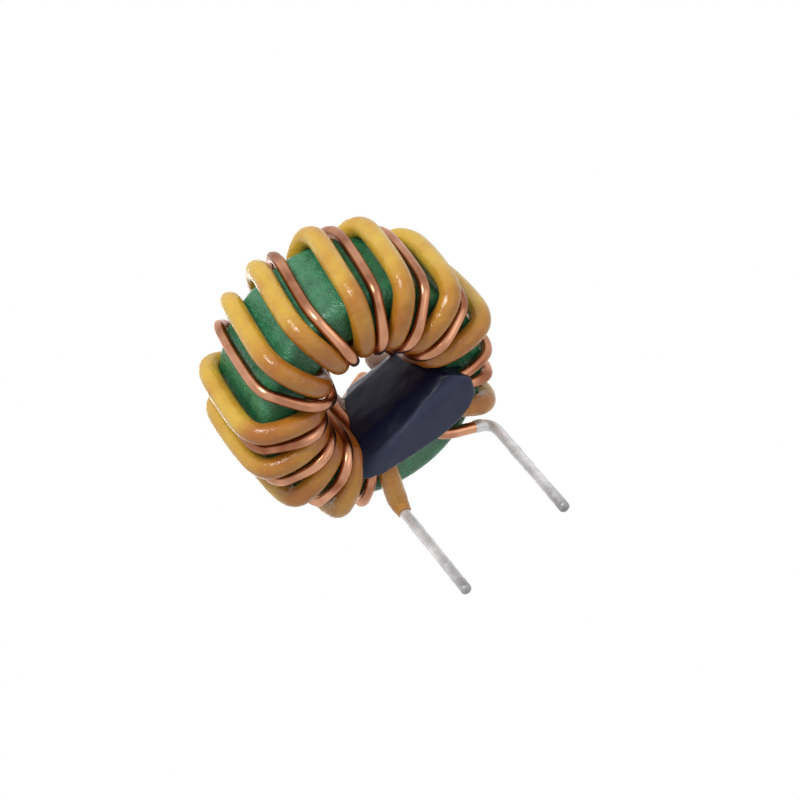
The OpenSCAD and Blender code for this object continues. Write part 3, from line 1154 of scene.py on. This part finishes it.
@dataclass
class Studio:
    """Camera at the photograph's angle, soft lamps, white surroundings and a pale floor.

    Lengths are in millimetres and angles in degrees.
    """

    ring: RingSizes
    tilt: float = 43.0
    roll: float = 50.0
    distance: float = 200.0
    focal_px: float = 3520.0
    image_px: float = 800.0
    sensor: float = 36.0
    aim_right: float = 1.42
    aim_down: float = 0.142
    soft_light: float = 0.5
    floor_size: float = 800.0
    floor_gap: float = 0.02
    floor_white: tuple[float, ...] = (0.88, 0.88, 0.88, 1)
    back: Vector = field(init=False)
    right: Vector = field(init=False)
    up: Vector = field(init=False)

    def __post_init__(self) -> None:
        """Works out the camera's directions."""
        tilt, roll = math.radians(self.tilt), math.radians(self.roll)
        self.back = Vector((0, -math.sin(tilt), -math.cos(tilt)))
        fall = Vector((0, math.cos(tilt), -math.sin(tilt)))
        across = Vector((1, 0, 0))
        self.right = math.sin(roll) * across + math.cos(roll) * fall
        self.up = math.cos(roll) * across - math.sin(roll) * fall

    @property
    def target(self) -> Vector:
        """Point in the middle of the picture, in millimetres."""
        return Vector((0, 0, self.ring.low)) + self.aim_right * self.right - self.aim_down * self.up

    def camera(self) -> None:
        """Sets the camera up."""
        data = bpy.data.cameras.new("photo_camera")
        data.sensor_width = self.sensor
        data.lens = self.focal_px / self.image_px * self.sensor
        data.clip_start, data.clip_end = 0.01, 10
        camera = bpy.data.objects.new("photo_camera", data)
        bpy.context.scene.collection.objects.link(camera)
        turn = Matrix((self.right, self.up, self.back)).transposed().to_4x4()
        camera.matrix_world = Matrix.Translation((self.target + self.distance * self.back) * MM) @ turn
        bpy.context.scene.camera = camera

    def toward(self, right: float, up: float, back: float) -> Vector:
        """A direction from the object, by its shares of the camera's directions."""
        return back * self.back + up * self.up + right * self.right

    def lamp(self, name: str, direction: Vector, distance: float, size: float, power: float) -> None:
        """Adds a soft square lamp that faces the object.

        Args:
            name: Name of the lamp.
            direction: From the object to the lamp.
            distance: How far away, in millimetres.
            size: Width, in millimetres.
            power: Power in watts.
        """
        data = bpy.data.lights.new(name, "AREA")
        data.shape = "SQUARE"
        data.size = size * MM
        data.energy = power
        lamp = bpy.data.objects.new(name, data)
        bpy.context.scene.collection.objects.link(lamp)
        middle = Vector((0, 0, self.ring.middle_z))
        lamp.location = (middle + direction.normalized() * distance) * MM
        lamp.rotation_euler = direction.to_track_quat("Z", "Y").to_euler()

    def lamps(self) -> None:
        """Lights the object from the photograph's upper left and, more softly, from elsewhere."""
        upper_left = self.toward(right=-0.44, up=0.52, back=0.73)
        front_right = self.toward(right=0.7, up=0.2, back=0.8)
        self.lamp("key", upper_left, distance=170, size=60, power=0.17)
        self.lamp("fill", front_right, distance=240, size=160, power=0.06)
        self.lamp("top", Vector((-0.2, 0.7, 1)), distance=200, size=120, power=0.09)

    def world(self) -> None:
        """White surroundings, as seen straight, mirrored or through glass, and softer light on the object."""
        world = bpy.data.worlds.new("white_room")
        bpy.context.scene.world = world
        tree = empty_tree(world)
        path = tree.nodes.new("ShaderNodeLightPath")
        white = add_node(tree, "ShaderNodeBackground", Color=(1, 1, 1, 1))
        soft = add_node(tree, "ShaderNodeBackground", Color=(1, 1, 1, 1), Strength=self.soft_light)
        seen = path.outputs["Is Camera Ray"]
        for ray in ("Is Glossy Ray", "Is Transmission Ray"):
            either = tree.nodes.new("ShaderNodeMath")
            either.operation = "MAXIMUM"
            tree.links.new(seen, either.inputs[0])
            tree.links.new(path.outputs[ray], either.inputs[1])
            seen = either.outputs[0]
        show_mix(tree, "ShaderNodeOutputWorld", seen, soft, white)

    def floor(self) -> None:
        """A pale floor under the lead tips that is seen from above only."""
        deselect()
        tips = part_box("insulated_lead")[0].z
        place = (0, 0, tips - self.floor_gap * MM)
        bpy.ops.mesh.primitive_plane_add(size=self.floor_size * MM, location=place)
        floor = bpy.context.object
        floor.name = "floor"
        material = bpy.data.materials.new("pale_floor")
        tree = empty_tree(material)
        paint = add_node(tree, "ShaderNodeBsdfDiffuse", Color=self.floor_white)
        clear = tree.nodes.new("ShaderNodeBsdfTransparent")
        side = tree.nodes.new("ShaderNodeNewGeometry")
        show_mix(tree, "ShaderNodeOutputMaterial", side.outputs["Backfacing"], paint, clear)
        floor.data.materials.append(material)
        floor.visible_shadow = False
        floor.visible_glossy = False

    def build(self) -> None:
        """Sets everything up."""
        bpy.context.scene.view_settings.view_transform = "Standard"
        self.camera()
        self.world()
        self.lamps()
        self.floor()


def main() -> None:
    """Builds the pieces in order."""
    logging.basicConfig(level=logging.INFO, format="%(message)s")
    ring = RingSizes()
    plan = WindingPlan(ring)
    Studio(ring).build()
    ToroidCore(ring).build(EpoxyCoat().build())
    Windings(plan).build(AmberJacket().build(), CopperEnamel().build())
    TinnedLeads(plan).build(DippedTin().build())
    BoreCompound(ring).build(NavyCompound().build())


if __name__ == "__main__":
    main()
